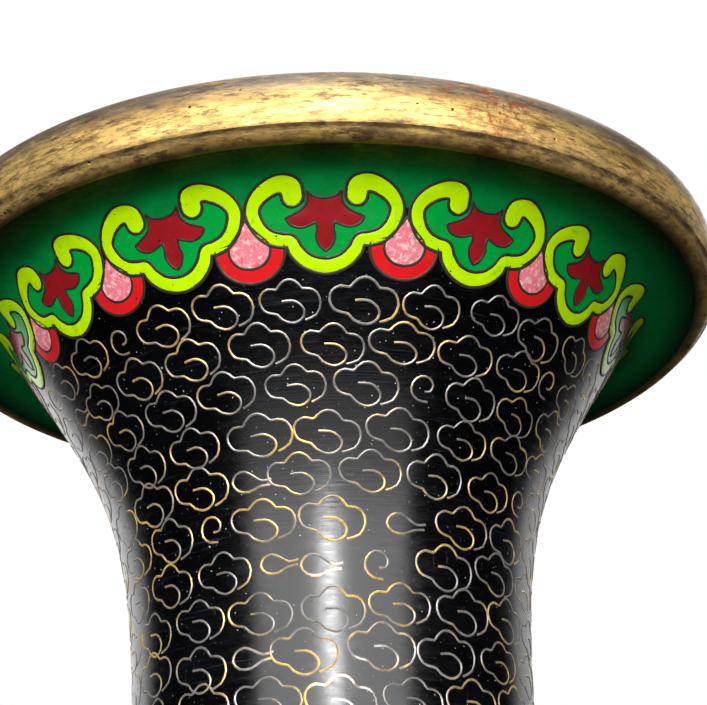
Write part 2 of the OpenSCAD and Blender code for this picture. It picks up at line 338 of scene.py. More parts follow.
class Finish:
    """A procedural material: small helpers that add nodes and link them up."""

    def __init__(self, name, color, roughness, metallic=0.0):
        self.mat = bpy.data.materials.new(name)
        self.mat.use_nodes = True
        self.nodes = self.mat.node_tree.nodes
        self.links = self.mat.node_tree.links
        self.shader = self.nodes["Principled BSDF"]
        self.place = self.nodes.new("ShaderNodeTexCoord").outputs["Object"]
        self.put("Base Color", (*color, 1.0))
        self.put("Roughness", roughness)
        self.put("Metallic", metallic)
        self.color = (*color, 1.0)
        self.height = None

    def put(self, socket, value):
        self.shader.inputs[socket].default_value = value

    def node(self, kind, **values):
        n = self.nodes.new(kind)
        for key, value in values.items():
            setattr(n, key, value)
        return n

    def stretched(self, sx, sy, sz):
        """Object coordinates in millimetres, scaled on each axis."""
        n = self.node("ShaderNodeMapping")
        n.inputs["Scale"].default_value = (sx / MM, sy / MM, sz / MM)
        self.links.new(self.place, n.inputs["Vector"])
        return n.outputs[0]

    def noise(self, size, detail=4.0, rough=0.5, stretch=(1, 1, 1)):
        """Noise whose lumps are about size millimetres across, 0 to 1."""
        n = self.node("ShaderNodeTexNoise")
        n.inputs["Scale"].default_value = 1.0 / size
        n.inputs["Detail"].default_value = detail
        n.inputs["Roughness"].default_value = rough
        self.links.new(self.stretched(*stretch), n.inputs["Vector"])
        return n.outputs["Fac"]

    def dots(self, spacing, size, share=0.5):
        """1 inside small round dots, 0 elsewhere; only a share of the cells has one."""
        n = self.node("ShaderNodeTexVoronoi", feature="F1")
        n.inputs["Scale"].default_value = 1.0 / spacing
        self.links.new(self.stretched(1, 1, 1), n.inputs["Vector"])
        edge = self.span(n.outputs["Distance"], size / spacing * 1.3, size / spacing * 0.7)
        some = self.span(self.part(n.outputs["Color"], "Red"), 1 - share, 1 - share + 0.02)
        return self.math("MULTIPLY", edge, some)

    def part(self, color, which):
        n = self.node("ShaderNodeSeparateColor")
        self.links.new(color, n.inputs[0])
        return n.outputs[which]

    def span(self, value, low, high, to_low=0.0, to_high=1.0):
        """Maps low..high to to_low..to_high and holds the ends; low may be the larger."""
        n = self.node("ShaderNodeMapRange")
        self.links.new(value, n.inputs["Value"])
        for key, v in zip(RANGE_KEYS, (low, high, to_low, to_high)):
            n.inputs[key].default_value = v
        return n.outputs[0]

    def math(self, operation, a, b):
        n = self.node("ShaderNodeMath", operation=operation)
        for socket, v in zip(n.inputs, (a, b)):
            if isinstance(v, (int, float)):
                socket.default_value = v
            else:
                self.links.new(v, socket)
        return n.outputs[0]

    def radius(self):
        """Distance from the axis of the vase in millimetres."""
        n = self.node("ShaderNodeVectorMath", operation="LENGTH")
        self.links.new(self.stretched(1, 1, 0), n.inputs[0])
        return n.outputs["Value"]

    def height_mm(self):
        """Height above the table in millimetres."""
        n = self.node("ShaderNodeSeparateXYZ")
        self.links.new(self.stretched(1, 1, 1), n.inputs[0])
        return n.outputs["Z"]

    def near(self, place, reach):
        """1 at a place given in millimetres, falling to 0 at reach."""
        n = self.node("ShaderNodeVectorMath", operation="DISTANCE")
        self.links.new(self.stretched(1, 1, 1), n.inputs[0])
        n.inputs[1].default_value = place
        return self.span(n.outputs["Value"], reach, 0)

    def tint(self, amount, color, strength=1.0):
        """Mixes color over what is there, by amount."""
        n = self.node("ShaderNodeMix", data_type="RGBA")
        factor = self.math("MULTIPLY", amount, strength)
        self.links.new(factor, n.inputs["Factor"])
        if isinstance(self.color, tuple):
            n.inputs["A"].default_value = self.color
        else:
            self.links.new(self.color, n.inputs["A"])
        n.inputs["B"].default_value = (*color, 1.0)
        self.color = n.outputs["Result"]
        self.links.new(self.color, self.shader.inputs["Base Color"])

    def relief(self, value, depth):
        """Adds a bump of depth millimetres."""
        n = self.node("ShaderNodeBump")
        n.inputs["Distance"].default_value = depth * MM
        n.inputs["Strength"].default_value = 1.0
        self.links.new(value, n.inputs["Height"])
        if self.height is not None:
            self.links.new(self.height, n.inputs["Normal"])
        self.height = n.outputs[0]
        self.links.new(self.height, self.shader.inputs["Normal"])

    def gloss(self, value, low, high):
        """Roughness from low to high as value goes from 0.3 to 0.7."""
        self.links.new(self.span(value, 0.3, 0.7, low, high), self.shader.inputs["Roughness"])


def enamel(name, color, dark, light, roughness=0.16, pits=0.25, shine=0.5):
    """Fired and polished enamel: cloudy colour, pinholes, a slight waviness, uneven polish."""
    f = Finish(name, color, roughness)
    f.put("Specular IOR Level", shine)
    f.tint(f.span(f.noise(1.6, 5), 0.35, 0.75), dark, 0.45)
    f.tint(f.span(f.noise(0.5, 3), 0.62, 0.8), light, 0.4)
    f.tint(f.dots(0.55, 0.05, pits), (0.01, 0.01, 0.008), 0.9)
    f.tint(f.dots(1.3, 0.11, pits * 0.7), (0.012, 0.012, 0.01), 0.95)
    f.relief(f.dots(0.55, 0.05, pits), -0.02)
    f.relief(f.noise(3.0, 2), 0.012)
    f.gloss(f.noise(0.8, 5, 0.7), roughness * 0.7, roughness * 1.7)
    return f


def ground_green():
    """Emerald ground with random darker patches of grime, and painted shade: darker, almost black
    at the outside, from 38 to 43.6 mm out from the axis, where the collar turns in under the rim;
    this also darkens the foot towards its outer edge.
    """
    f = enamel("emerald_enamel", (0.0, 0.195, 0.036), (0.0, 0.11, 0.022), (0.01, 0.28, 0.06),
               roughness=0.45, pits=0.4, shine=0.12)
    # Painted shade: darker with distance from the axis, for the shade under the overhang of the
    # rim.
    f.tint(f.span(f.radius(), 38.0, 42.0), (0.0, 0.055, 0.018), 0.7)
    f.tint(f.span(f.radius(), 41.0, 43.6), (0.0, 0.008, 0.004), 0.95)
    grime = f.noise(3.0, 4, 0.6, stretch=(0.3, 0.3, 1.0))
    f.tint(f.span(grime, 0.55, 0.75), (0.0, 0.05, 0.02), 0.5)
    return f.mat


def lime_glaze():
    """Yellow-green, with greener clouds where the leaf green has bled into it."""
    f = enamel("lime_enamel", (0.50, 0.84, 0.0), (0.37, 0.64, 0.0), (0.64, 0.95, 0.03), pits=0.45)
    f.tint(f.span(f.noise(1.8, 4, 0.6), 0.62, 0.72), (0.12, 0.42, 0.02), 0.6)
    return f.mat


def pink_glaze():
    """Pink with pale and red flecks, as a poorly mixed enamel fires."""
    f = enamel("pink_enamel", (0.80, 0.22, 0.27), (0.68, 0.08, 0.13), (0.92, 0.70, 0.68),
               roughness=0.2, pits=0.2)
    f.tint(f.span(f.noise(0.55, 4, 0.7), 0.50, 0.62), (0.93, 0.66, 0.62), 0.8)
    flecks = f.noise(0.8, 4, 0.7, stretch=(1.3, 1.3, 0.9))
    f.tint(f.span(flecks, 0.56, 0.66), (0.62, 0.03, 0.05), 0.7)
    return f.mat


def black_glaze():
    """Black ground: polish haze in fine level streaks, hairline scratches, and pinholes
    with pale dust in them."""
    f = Finish("black_enamel_ground", (0.0007, 0.0007, 0.0009), 0.17)
    f.put("IOR", 1.52)
    f.tint(f.span(f.noise(7, 3), 0.4, 0.75), (0.003, 0.0034, 0.0045), 0.6)
    streak = f.noise(1.0, 4, 0.7, stretch=(0.12, 0.12, 4.0))
    f.tint(f.span(streak, 0.60, 0.72), (0.030, 0.036, 0.048), 0.45)
    scratch = f.noise(1.0, 2, 0.6, stretch=(3.2, 3.2, 0.10))
    f.tint(f.span(scratch, 0.70, 0.74), (0.07, 0.07, 0.075), 0.3)
    f.tint(f.dots(0.8, 0.06, 0.45), (0.52, 0.52, 0.52), 0.85)
    f.tint(f.dots(2.3, 0.11, 0.16), (0.34, 0.33, 0.31), 0.85)
    f.tint(f.dots(0.45, 0.032, 0.6), (0.20, 0.20, 0.22), 0.85)
    f.relief(f.span(streak, 0.4, 0.8), 0.006)
    f.relief(f.noise(5.0, 3), 0.03)
    f.relief(f.dots(0.8, 0.06, 0.3), -0.02)
    f.gloss(f.noise(1.2, 7, 0.8, stretch=(0.5, 0.5, 1.8)), 0.10, 0.31)
    return f.mat


def gilt_wire(name, color, tarnish, amount, roughness, metallic):
    """Thin gilt wire: worn gold in places, grey and brown tarnish in others."""
    f = Finish(name, color, roughness, metallic)
    f.tint(f.span(f.noise(5.0, 4, 0.6), 0.5 - amount * 0.4, 0.62 - amount * 0.3), tarnish, 0.9)
    f.tint(f.span(f.noise(0.7, 4, 0.7), 0.5, 0.75), (0.05, 0.04, 0.03), 0.6)
    f.relief(f.noise(0.25, 3), 0.015)
    f.gloss(f.noise(0.6, 3), roughness * 0.8, roughness * 1.6)
    return f.mat


def old_brass():
    """Handled brass: bright where rubbed, grey-brown oxide in grainy patches, red stains, dark
    pits;
    painted shade as a grey band along the top, patches on the crease, and black under the return."""
    f = Finish("aged_brass", (0.98, 0.64, 0.21), 0.3, metallic=0.72)
    grain = f.noise(0.5, 6, 0.8, stretch=(0.3, 0.3, 1.4))
    drift = f.noise(4.5, 4, 0.6, stretch=(0.3, 0.3, 1.5))
    smear = f.noise(1.2, 7, 0.8, stretch=(0.3, 0.3, 1.7))
    f.tint(f.span(drift, 0.46, 0.58), (0.48, 0.28, 0.08), 0.75)
    f.tint(f.span(grain, 0.47, 0.58), (0.24, 0.15, 0.06), 0.75)
    height = f.height_mm()
    # Painted shade: a grainy grey-brown band along the top 2.9 mm of the rim, where its face turns
    # away from the light.
    top = f.span(height, HEIGHT - 2.9, HEIGHT - 1.2)
    f.tint(f.math("MULTIPLY", top, f.span(grain, 0.30, 0.46)), (0.24, 0.195, 0.15), 0.92)
    # Painted shade: dark patches in a band 5 to 6.1 mm below the top, along the crease between the
    # face and the return.
    crease = f.math("MULTIPLY", f.span(height, HEIGHT - 5.0, HEIGHT - 5.6),
                    f.span(height, HEIGHT - 6.1, HEIGHT - 5.8))
    f.tint(f.math("MULTIPLY", crease, f.span(smear, 0.44, 0.56)), (0.12, 0.095, 0.07), 0.62)
    # Painted shade: nearly black on the underside of the return, where it turns in under the rim
    # towards the enamel.
    return_underside_shade = f.math("MULTIPLY", f.span(height, HEIGHT - 5.5, HEIGHT - 5.8),
                       f.span(f.radius(), RIM_R - 1.0, RIM_R - 2.1))
    f.tint(return_underside_shade, (0.05, 0.03, 0.012), 0.9)
    f.tint(f.span(smear, 0.555, 0.59), (0.13, 0.085, 0.045), 0.85)
    oxide = f.noise(7.0, 5, 0.7, stretch=(0.5, 0.5, 1.4))
    f.tint(f.span(oxide, 0.56, 0.68), (0.12, 0.085, 0.05), 0.7)
    stain = f.math("MULTIPLY", f.near((17.0, -43.5, HEIGHT - 2.0), 7.0), 2.2)
    specks = f.span(f.noise(0.9, 6, 0.8), 0.50, 0.58)
    f.tint(f.math("MULTIPLY", stain, specks), (0.40, 0.11, 0.04), 0.6)
    f.tint(f.span(f.noise(9.0, 4, 0.65), 0.58, 0.70), (0.26, 0.06, 0.03), 0.5)
    f.tint(f.span(f.noise(0.35, 5, 0.8), 0.63, 0.70), (0.03, 0.02, 0.012), 0.8)
    f.tint(f.dots(1.6, 0.14, share=0.22), (0.015, 0.01, 0.008), 0.95)
    f.relief(grain, 0.03)
    f.relief(f.dots(1.6, 0.15, share=0.22), -0.05)
    f.relief(f.noise(2.5, 4), 0.035)
    f.gloss(f.noise(0.9, 5, 0.75, stretch=(0.25, 0.25, 1.6)), 0.24, 0.58)
    return f.mat


def old_copper():
    """Copper dulled brown, with darker blotches."""
    f = Finish("oxidised_copper", (0.40, 0.19, 0.10), 0.42, metallic=1.0)
    f.tint(f.span(f.noise(6.0, 5, 0.65), 0.40, 0.62), (0.10, 0.045, 0.028), 0.85)
    f.tint(f.span(f.noise(2.0, 5, 0.7), 0.58, 0.72), (0.03, 0.022, 0.018), 0.7)
    f.relief(f.noise(1.2, 4), 0.03)
    f.gloss(f.noise(2.0, 4), 0.32, 0.62)
    return f.mat


BLACK = black_glaze()
GREEN = ground_green()
LIME = lime_glaze()
FILL = enamel("leaf_green_enamel", (0.0, 0.33, 0.045), (0.0, 0.22, 0.025), (0.02, 0.55, 0.09),
              pits=0.3).mat
LEAF_RED = enamel("dark_red_enamel", (0.30, 0.010, 0.014), (0.14, 0.006, 0.010),
                  (0.55, 0.03, 0.03), pits=0.3).mat
RED = enamel("bright_red_enamel", (0.68, 0.012, 0.014), (0.46, 0.010, 0.012),
             (0.85, 0.09, 0.07), pits=0.3).mat
PINK = pink_glaze()
LINING_GLAZE = enamel("turquoise_counter_enamel", (0.03, 0.27, 0.30), (0.02, 0.18, 0.21),
                      (0.07, 0.36, 0.38), roughness=0.25).mat
GOLD_WIRE = gilt_wire("cloud_wire_gilt", (1.0, 0.68, 0.20), tarnish=(0.27, 0.275, 0.31),
                      amount=0.36, roughness=0.34, metallic=0.65)
DARK_WIRE = gilt_wire("outline_wire_tarnished", (0.14, 0.115, 0.085),
                      tarnish=(0.03, 0.026, 0.022), amount=0.7, roughness=0.42, metallic=0.5)
BRASS = old_brass()
COPPER_SKIN = old_copper()

# ---------------------------------------------------------------- pieces shown as they are
AS_THEY_ARE = {
    COPPER_SKIN: ("neck_shell", "shoulder_shell", "belly_shell", "foot_shell", "base_plate"),
    LINING_GLAZE: ("floor_lining", "base_counter_enamel"),
}
for material, shown in AS_THEY_ARE.items():
    for node in shown:
        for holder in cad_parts[node].material_slots:
            holder.material = material

# ---------------------------------------------------------------- places down the wall
HEADS = 14
PITCH = 2 * math.pi / HEADS
# The head nearest to -Y stands a little to one side of it
FRONT = -math.pi / 2 + math.radians(1.22)
NECK_HEADS_S = float(SPAN_S[1])
NECK_JOINT_S = NECK_HEADS_S - 1.7
BAND_END_S = float(SPAN_S[3])


def s_at(u):
    """Distance below the mouth of a place given in spans, such as 2.5."""
    return float(np.interp(u * SPAN_STEPS, np.arange(len(WALL_S)), WALL_S))


BAND_TOP_S = s_at(2 + 5 / 6)
SHOULDER_JOINT_S = s_at(3 + 3 / 9 + 0.01)
SHOULDER_HEADS_S = s_at(3 + 3 / 9 + 0.03)
LAPPET_TOP_S = s_at(4 + 5 / 8)
LAPPET_S = s_at(4 + 6 / 8 + 0.04)
LAPPET_END_S = s_at(4 + 7 / 8 + 0.1)
FOOT_WIRE_S = s_at(5 + 4 / 5)
FOOT_END_S = s_at(5.99999)


# Each ground: piece, where it starts and ends, colour, step along the wall, node
for name, s0, s1, material, slot, step, node in (
    ("collar_glaze", 0.0, NECK_JOINT_S, GREEN, "green_enamel", 0.5, "collar_enamel"),
    ("neck_glaze", NECK_JOINT_S, BAND_TOP_S, BLACK, "black_enamel", 0.9, "neck_enamel"),
    ("neck_band_glaze", BAND_TOP_S, BAND_END_S, GREEN, "green_enamel", 0.6, "neck_band_enamel"),
    ("shoulder_collar_glaze", BAND_END_S, SHOULDER_JOINT_S, GREEN, "green_enamel", 0.7,
     "shoulder_collar_enamel"),
    ("body_glaze", SHOULDER_JOINT_S, LAPPET_TOP_S, BLACK, "black_enamel", 1.3, "body_enamel"),
    ("lappet_ground_glaze", LAPPET_TOP_S, LAPPET_END_S, BLACK, "black_enamel", 1.3,
     "lappet_ground_enamel"),
    ("foot_glaze", LAPPET_END_S, FOOT_END_S, GREEN, "green_enamel", 0.8, "foot_enamel"),
):
    dress(turned(name, coat(s0, s1, 0.0, -ENAMEL, step)), material, [node])
for name, s0, s1, step, node in (
    ("neck_lining_glaze", 0.0, BAND_END_S, 0.8, "neck_lining"),
    ("body_lining_glaze", BAND_END_S, s_at(5), 1.6, "body_lining"),
):
    dress(turned(name, coat(s0, s1, LINING_FACE, COPPER_FACE, step), 160),
          LINING_GLAZE, [node])


# ---------------------------------------------------------------- brass
def arc(cx, cz, r, a0, a1, steps):
    a = np.radians(np.linspace(a0, a1, steps + 1))
    return [(cx + r * math.cos(t), cz + r * math.sin(t)) for t in a]


def rim_outline():
    """Section of the rim: return, crease, bulging face, top, lip inside."""
    top_edge = point(*wall(0.0, LINING_FACE))
    swing = np.radians(np.arange(-70, 91, 8))
    half_face, depth = 2.85, 0.7
    face_r = RIM_R + RIM_BULGE - depth * (1 - np.cos(swing))
    face_z = HEIGHT - half_face + half_face * np.sin(swing)
    return ([tuple(mouth), (RIM_R - 2.05, HEIGHT - 6.42), (RIM_R - 1.6, HEIGHT - 6.47),
             (RIM_R - 1.15, HEIGHT - 6.40), (RIM_R - 0.78, HEIGHT - 6.22),
             (RIM_R - 0.52, HEIGHT - 5.97), (RIM_R - 0.40, HEIGHT - 5.76),
             (RIM_R - 0.28, HEIGHT - 5.66)]
            + list(zip(face_r, face_z))
            + [(RIM_R - 0.30, HEIGHT), (RIM_R - 1.7, HEIGHT - 0.02), (RIM_R - 2.2, HEIGHT - 0.18),
               (RIM_R - 2.5, HEIGHT - 0.6), tuple(top_edge + (-0.6, 0.5)), tuple(top_edge)])


def foot_ring_outline():
    """Section of the foot ring: flat underneath, with a rounded outer face."""
    r, h = FOOT_R, FOOT_RING_H
    return ([(r - 3, h), (r - 3.3, h - 0.4), (r - 3.4, h - 1.0), (r - 3.4, 0.7)]
            + arc(r - 2.8, 0.6, 0.6, 180, 270, 4) + [(r - 0.9, 0.0)]
            + arc(r - 0.3, h / 2, 0.9, -70, 70, 10)
            + [(r, h)])


dress(turned("mouth_rim_brass", rim_outline(), 320), BRASS, ["mouth_rim"])
dress(turned("foot_ring_brass", foot_ring_outline()), BRASS, ["foot_ring"])


def band_wire_outline(s, half=0.25, proud=0.06):
    """Section of a wire sunk in the enamel, with its low round top just clear of it."""
    swing = [math.pi * k / 6 for k in range(7)]
    crown = [tuple(wall(s - half * math.cos(a), proud * math.sin(a))) for a in swing]
    return crown + [tuple(wall(s + half, -ENAMEL)), tuple(wall(s - half, -ENAMEL))]


def band_hoops():
    places = (BAND_TOP_S + 0.3, BAND_END_S, LAPPET_END_S, FOOT_WIRE_S)
    hoops = [turned("hoop_%d" % k, band_wire_outline(s)) for k, s in enumerate(places)]
    deselect()
    for hoop in hoops:
        hoop.select_set(True)
    bpy.context.view_layer.objects.active = hoops[0]
    bpy.ops.object.join()
    hoops[0].name = "band_hoops"
    dress(hoops[0], GOLD_WIRE, ["band_wires"])


band_hoops()

# ---------------------------------------------------------------- the cloud-collar heads
# Middle line and half width of the lime border: one scroll end, round it, to the lobe
SCROLL = [
    (-3.1, 2.7, 0.95), (-3.35, 3.65, 0.92), (-4.6, 3.95, 0.83), (-6.3, 3.0, 0.72),
    (-7.05, 1.6, 0.6), (-6.5, 0.0, 0.55), (-5.5, -1.05, 0.55), (-4.3, -1.5, 0.55),
    (-3.35, -1.65, 0.5), (-2.8, -2.7, 0.58), (-1.65, -3.75, 0.6), (0.0, -4.2, 0.64),
]
# Half of the leaf, in runs that meet at its corners
LEAF_RUNS = [
    [(0, 2.35), (-1.05, 2.55), (-1.75, 3.2)],
    [(-1.75, 3.2), (-1.65, 2.2), (-2.2, 1.4), (-3.1, 0.92), (-3.85, 0.6)],
    [(-3.85, 0.6), (-3.3, -0.1), (-2.3, -0.4), (-1.4, -0.15), (-0.85, 0.1)],
    [(-0.85, 0.1), (-0.8, -0.6), (-0.92, -1.3), (-0.6, -2.2), (0, -2.75)],
]
BEAD_RUN = [(0, 0.75), (-0.3, 0.3), (-1.0, -0.55), (-1.75, -1.35), (-2.0, -2.1), (-1.75, -2.95),
            (-1.0, -3.65), (0, -3.9)]


CELL_DEPTH = 0.4     # how far the cells and their wires reach into the ground


def whole(line):
    """Closed outline from its left half, which runs from the top middle to the bottom one."""
    m = mirrored(line)
    return m[:-1] if np.allclose(m[0], m[-1]) else m


scroll_line = round_ends(through(mirrored(SCROLL), 8))
leaf_half = np.vstack([through(run, 6)[:-1] for run in LEAF_RUNS] + [[LEAF_RUNS[-1][-1]]])
leaf_outline = whole(leaf_half)
bead_outline = whole(through(BEAD_RUN, 5))


def wire_round(outline, half):
    """A closed, slightly crowned wire along an outline."""
    line = evenly(outline[:, :2], 0.22, closed=True)
    return ribbon(np.c_[line, np.full(len(line), half)], 0.05, CELL_DEPTH, 4, closed=True)


def border_wire(half=0.165):
    """The wire round a head's border, just clear of the border's own edge."""
    middle = through(mirrored(SCROLL), 8)
    middle[:, 2] += 0.12
    left, right = edges_of(round_ends(middle))
    return wire_round(np.vstack([left, right[::-1]]), half)


def inside(xy, poly):
    """Which of the points lie inside a polygon, by counting the edges to one side."""
    x, y = xy[:, 0][:, None], xy[:, 1][:, None]
    x0, y0 = poly[:, 0], poly[:, 1]
    x1, y1 = np.roll(x0, -1), np.roll(y0, -1)
    cross = ((y0 > y) != (y1 > y)) & (x < (x1 - x0) * (y - y0) / (y1 - y0 + 1e-12) + x0)
    return cross.sum(axis=1) % 2 == 1


def fill_cell(pitch=0.4):
    """The green floor of a head: a grid trimmed under the middle of the border."""
    border = through(mirrored(SCROLL), 4)[:, :2]
    bay = np.array([(1.8, 1.9), (0, 1.6), (-1.8, 1.9)])
    outline = np.vstack([border, bay])
    nx, ny = int(15.0 / pitch), int(8.8 / pitch)
    xs = (np.arange(nx + 1) - nx / 2) * pitch
    ys = -4.5 + np.arange(ny + 1) * pitch
    gx, gy = np.meshgrid(xs, ys)
    verts = np.c_[gx.ravel(), gy.ravel(), np.zeros(gx.size)]
    centres, quads = [], []
    for j in range(ny):
        for i in range(nx):
            a = j * (nx + 1) + i
            quads.append((a, a + 1, a + nx + 2, a + nx + 1))
            centres.append((xs[i] + pitch / 2, ys[j] + pitch / 2))
    keep = inside(np.array(centres), outline)
    quads = [q for q, k in zip(quads, keep) if k]
    used = sorted({i for q in quads for i in q})
    index = {v: k for k, v in enumerate(used)}
    quads = [tuple(index[i] for i in q) for q in quads]
    top = verts[used]
    bottom = top.copy()
    bottom[:, 2] = -CELL_DEPTH
    n = len(used)
    count = {}
    for q in quads:
        for a, b in zip(q, q[1:] + q[:1]):
            count[(a, b)] = count.get((a, b), 0) + 1
    walls = [(a, a + n, b + n, b) for a, b in count if (b, a) not in count]
    floor = [tuple(i + n for i in q[::-1]) for q in quads]
    return np.vstack([top, bottom]), quads + floor + walls


def raised(flat, lift):
    """Lifts the top of a flat cell and leaves its floor where it is."""
    verts, faces = flat
    verts = verts.copy()
    verts[:, 2] = np.where(verts[:, 2] > -0.2, verts[:, 2] + lift, verts[:, 2])
    return verts, faces


def by_hand(flat, rng, shift=0.12, turn=1.5, grow=0.02):
    """One hand-bent copy of a flat cell."""
    verts, faces = flat
    a = math.radians(rng.uniform(-turn, turn))
    k = 1 + rng.uniform(-grow, grow)
    x = verts[:, 0] * math.cos(a) - verts[:, 1] * math.sin(a)
    y = verts[:, 0] * math.sin(a) + verts[:, 1] * math.cos(a)
    dx, dy = rng.uniform(-shift, shift), rng.uniform(-shift, shift)
    return np.c_[k * x + dx, k * y + dy, verts[:, 2]], faces


def crescent_outline():
    """A round bowl with a shallow top, most of it hidden by the bead."""
    a = np.radians(np.linspace(168, 372, 40))
    lower = np.c_[3.35 * np.cos(a), 3.1 * np.sin(a) - 2.15]
    return np.vstack([lower, [(1.2, -1.2), (-1.2, -1.2)]])


def chain(prefix, s0, nodes, seed):
    """One border of heads round the wall, with beads and crescents between them."""
    border = raised(ribbon(scroll_line, 0.03, 0.5, 6), 0.045)
    fill = raised(fill_cell(), 0.025)
    leaf = raised(patch(leaf_outline, (0, 0.9), 0.02, CELL_DEPTH), 0.04)
    leaf_wire = raised(wire_round(leaf_outline, 0.13), 0.05)
    outline_wire = raised(border_wire(), 0.045)
    bead = raised(patch(bead_outline, (0, -2.2), 0.06, CELL_DEPTH), 0.03)
    bead_wire = raised(wire_round(bead_outline, 0.14), 0.035)
    crescent = crescent_outline()
    moon = raised(patch(evenly(crescent, 0.3, True), (0, -3.2), 0.02, CELL_DEPTH), 0.012)
    moon_wire = raised(wire_round(crescent, 0.145), 0.02)
    cells = {k: [] for k in ("border", "fill", "leaf", "wire", "bead", "moon")}
    for k in range(HEADS):
        rng = random.Random(seed * 100 + k)
        state = rng.getstate()
        a = FRONT + k * PITCH
        for key, flat in (("border", border), ("fill", fill), ("leaf", leaf),
                          ("wire", leaf_wire), ("wire", outline_wire)):
            rng.setstate(state)
            cells[key].append((by_hand(flat, rng), s0, a))
        b = a + PITCH / 2
        rng = random.Random(seed * 100 + 50 + k)
        state = rng.getstate()
        for key, flat in (("bead", bead), ("moon", moon),
                          ("wire", bead_wire), ("wire", moon_wire)):
            rng.setstate(state)
            cells[key].append((by_hand(flat, rng, 0.1, 2.0, 0.04), s0, b))
    for key, material, slot, label in (
        ("border", LIME, "lime_enamel", "head_borders_lime"),
        ("fill", FILL, "leaf_green_enamel", "head_fills_green"),
        ("leaf", LEAF_RED, "dark_red_enamel", "head_leaves_red"),
        ("wire", DARK_WIRE, "wire", "head_outline_wires"),
        ("bead", PINK, "pink_enamel", "beads_pink"),
        ("moon", RED, "red_enamel", "crescents_red"),
    ):
        piece = laid(prefix + "_" + label, cells[key])
        dress(piece, material, nodes.get(key, ()))


chain("neck", NECK_HEADS_S, {
    "border": ["neck_head_borders"], "fill": ["neck_head_fills"], "leaf": ["neck_head_leaves"],
    "wire": ["neck_head_wires"], "bead": ["pink_beads"], "moon": ["red_crescents"]}, 3)
chain("shoulder", SHOULDER_HEADS_S, {
    "border": ["shoulder_head_borders"], "fill": ["shoulder_head_fills"]}, 5)

# ---------------------------------------------------------------- cloud wires
# One bent wire: up from the lower right, round three lobes, and in to a hooked end
CLOUD = [
    (1.45, -1.85), (2.6, -1.35), (3.08, -0.25), (2.75, 0.72), (2.05, 1.08), (1.35, 1.12),
    (0.95, 1.6), (0.3, 1.98), (-0.45, 1.9), (-1.0, 1.45), (-1.35, 1.12), (-2.15, 1.22),
    (-2.85, 0.8), (-3.02, 0.05), (-2.62, -0.75), (-1.95, -1.05), (-1.35, -1.2), (-0.85, -1.7),
    (0.0, -2.05), (0.72, -1.95), (1.28, -1.5), (1.38, -0.85), (0.95, -0.3), (0.28, 0.02),
    (-0.78, 0.0),
]
# Small fillers: a drop with a tail, and a hook
DROP = [(2.1, -0.35), (1.1, -0.5), (0.1, -0.95), (-0.95, -0.85), (-1.55, -0.15), (-1.2, 0.6),
        (-0.35, 0.85), (0.55, 0.4), (1.3, 0.0), (2.2, 0.15)]
HOOK = [(0.5, -1.35), (-0.5, -1.2), (-1.2, -0.5), (-1.15, 0.45), (-0.45, 1.1), (0.45, 1.0),
        (0.95, 0.35), (0.7, -0.3), (0.1, -0.35)]
CLOUD_PITCH = 7.05
SMALL_PITCH = 4.1
ROW_PITCH = 4.1
ROW_SLACK = 3.5      # a row stops adding clouds this close to full, and stretches
SMALL_SHARE = 0.11   # of the places in a row
DROP_SHARE = 0.6     # of the small ones
CLOUD_SIZE = 1.05


def cloud_wire(points, n, half=0.165):
    """A wire of three faces round: two slopes that meet in a ridge, and a floor."""
    line = through(points, n)
    side = sideways(line)
    sunk, ridge = np.full(len(line), -0.03), np.full(len(line), 0.055)
    return strip([np.c_[line + side * half, sunk], np.c_[line, ridge],
                  np.c_[line - side * half, sunk]], False)


def warped(flat, rng):
    """One hand-bent copy of a cloud, a little wider or taller than the last."""
    verts, faces = by_hand(flat, rng, 0.22, 6.0, 0.04)
    verts[:, :2] *= CLOUD_SIZE
    verts[:, 0] *= 1 + rng.uniform(-0.05, 0.05)
    verts[:, 1] *= 1 + rng.uniform(-0.06, 0.06)
    return verts, faces


def cloud_rows(name, s0, s1, n, seed):
    """Level rows of clouds from s0 to s1, each row half a cloud on from the last."""
    rng = random.Random(seed)
    cloud, drop, hook = (cloud_wire(line, n) for line in (CLOUD, DROP, HOOK))
    rows = int((s1 - s0) / ROW_PITCH)
    cells = []
    for row in range(rows + 1):
        s = s0 + (s1 - s0) * row / max(rows, 1)
        around = 2 * math.pi * float(wall(s)[0])
        widths = []
        while sum(w for w, _ in widths) < around - ROW_SLACK:
            small = rng.random() < SMALL_SHARE and widths
            widths.append((SMALL_PITCH if small else CLOUD_PITCH, small))
        scale = around / sum(w for w, _ in widths)
        along = (row % 2 * 0.5 + rng.uniform(-0.1, 0.1)) * CLOUD_PITCH
        for w, small in widths:
            along += w * scale
            a = FRONT + (along - w * scale / 2) / around * 2 * math.pi
            low = s + rng.uniform(-0.3, 0.3)
            shape = (drop if rng.random() < DROP_SHARE else hook) if small else cloud
            cells.append((warped(shape, rng), low, a))
    dress(laid(name, cells), GOLD_WIRE)


SHOULDER_END_S, BELLY_END_S = s_at(3.9), s_at(4 + 2.4 / 8)
cloud_rows("neck_cloud_wires", NECK_HEADS_S + 7.3, BAND_TOP_S - 2.8, 2, 11)
cloud_rows("shoulder_cloud_wires", SHOULDER_HEADS_S + 7.6, SHOULDER_END_S, 1, 12)
cloud_rows("belly_cloud_wires", SHOULDER_END_S + ROW_PITCH, BELLY_END_S, 1, 13)
cloud_rows("lower_cloud_wires", BELLY_END_S + ROW_PITCH, LAPPET_TOP_S - 2.6, 1, 14)

# ---------------------------------------------------------------- lappets above the foot
LAPPETS = 20


def lappet_outline(inset):
    """A pointed arch, drawn in from the full size by inset on every side."""
    tip = through([(5.5 - inset, -1), (4.9 - inset, 4), (2.2 - inset / 2, 7.5),
                   (0, 9.5 - 1.4 * inset)], 6)
    half = np.vstack([[(4.7 - inset, -8.3 + inset)], tip])
    left = half[-2::-1].copy()
    left[:, 0] *= -1
    return np.vstack([half, left])


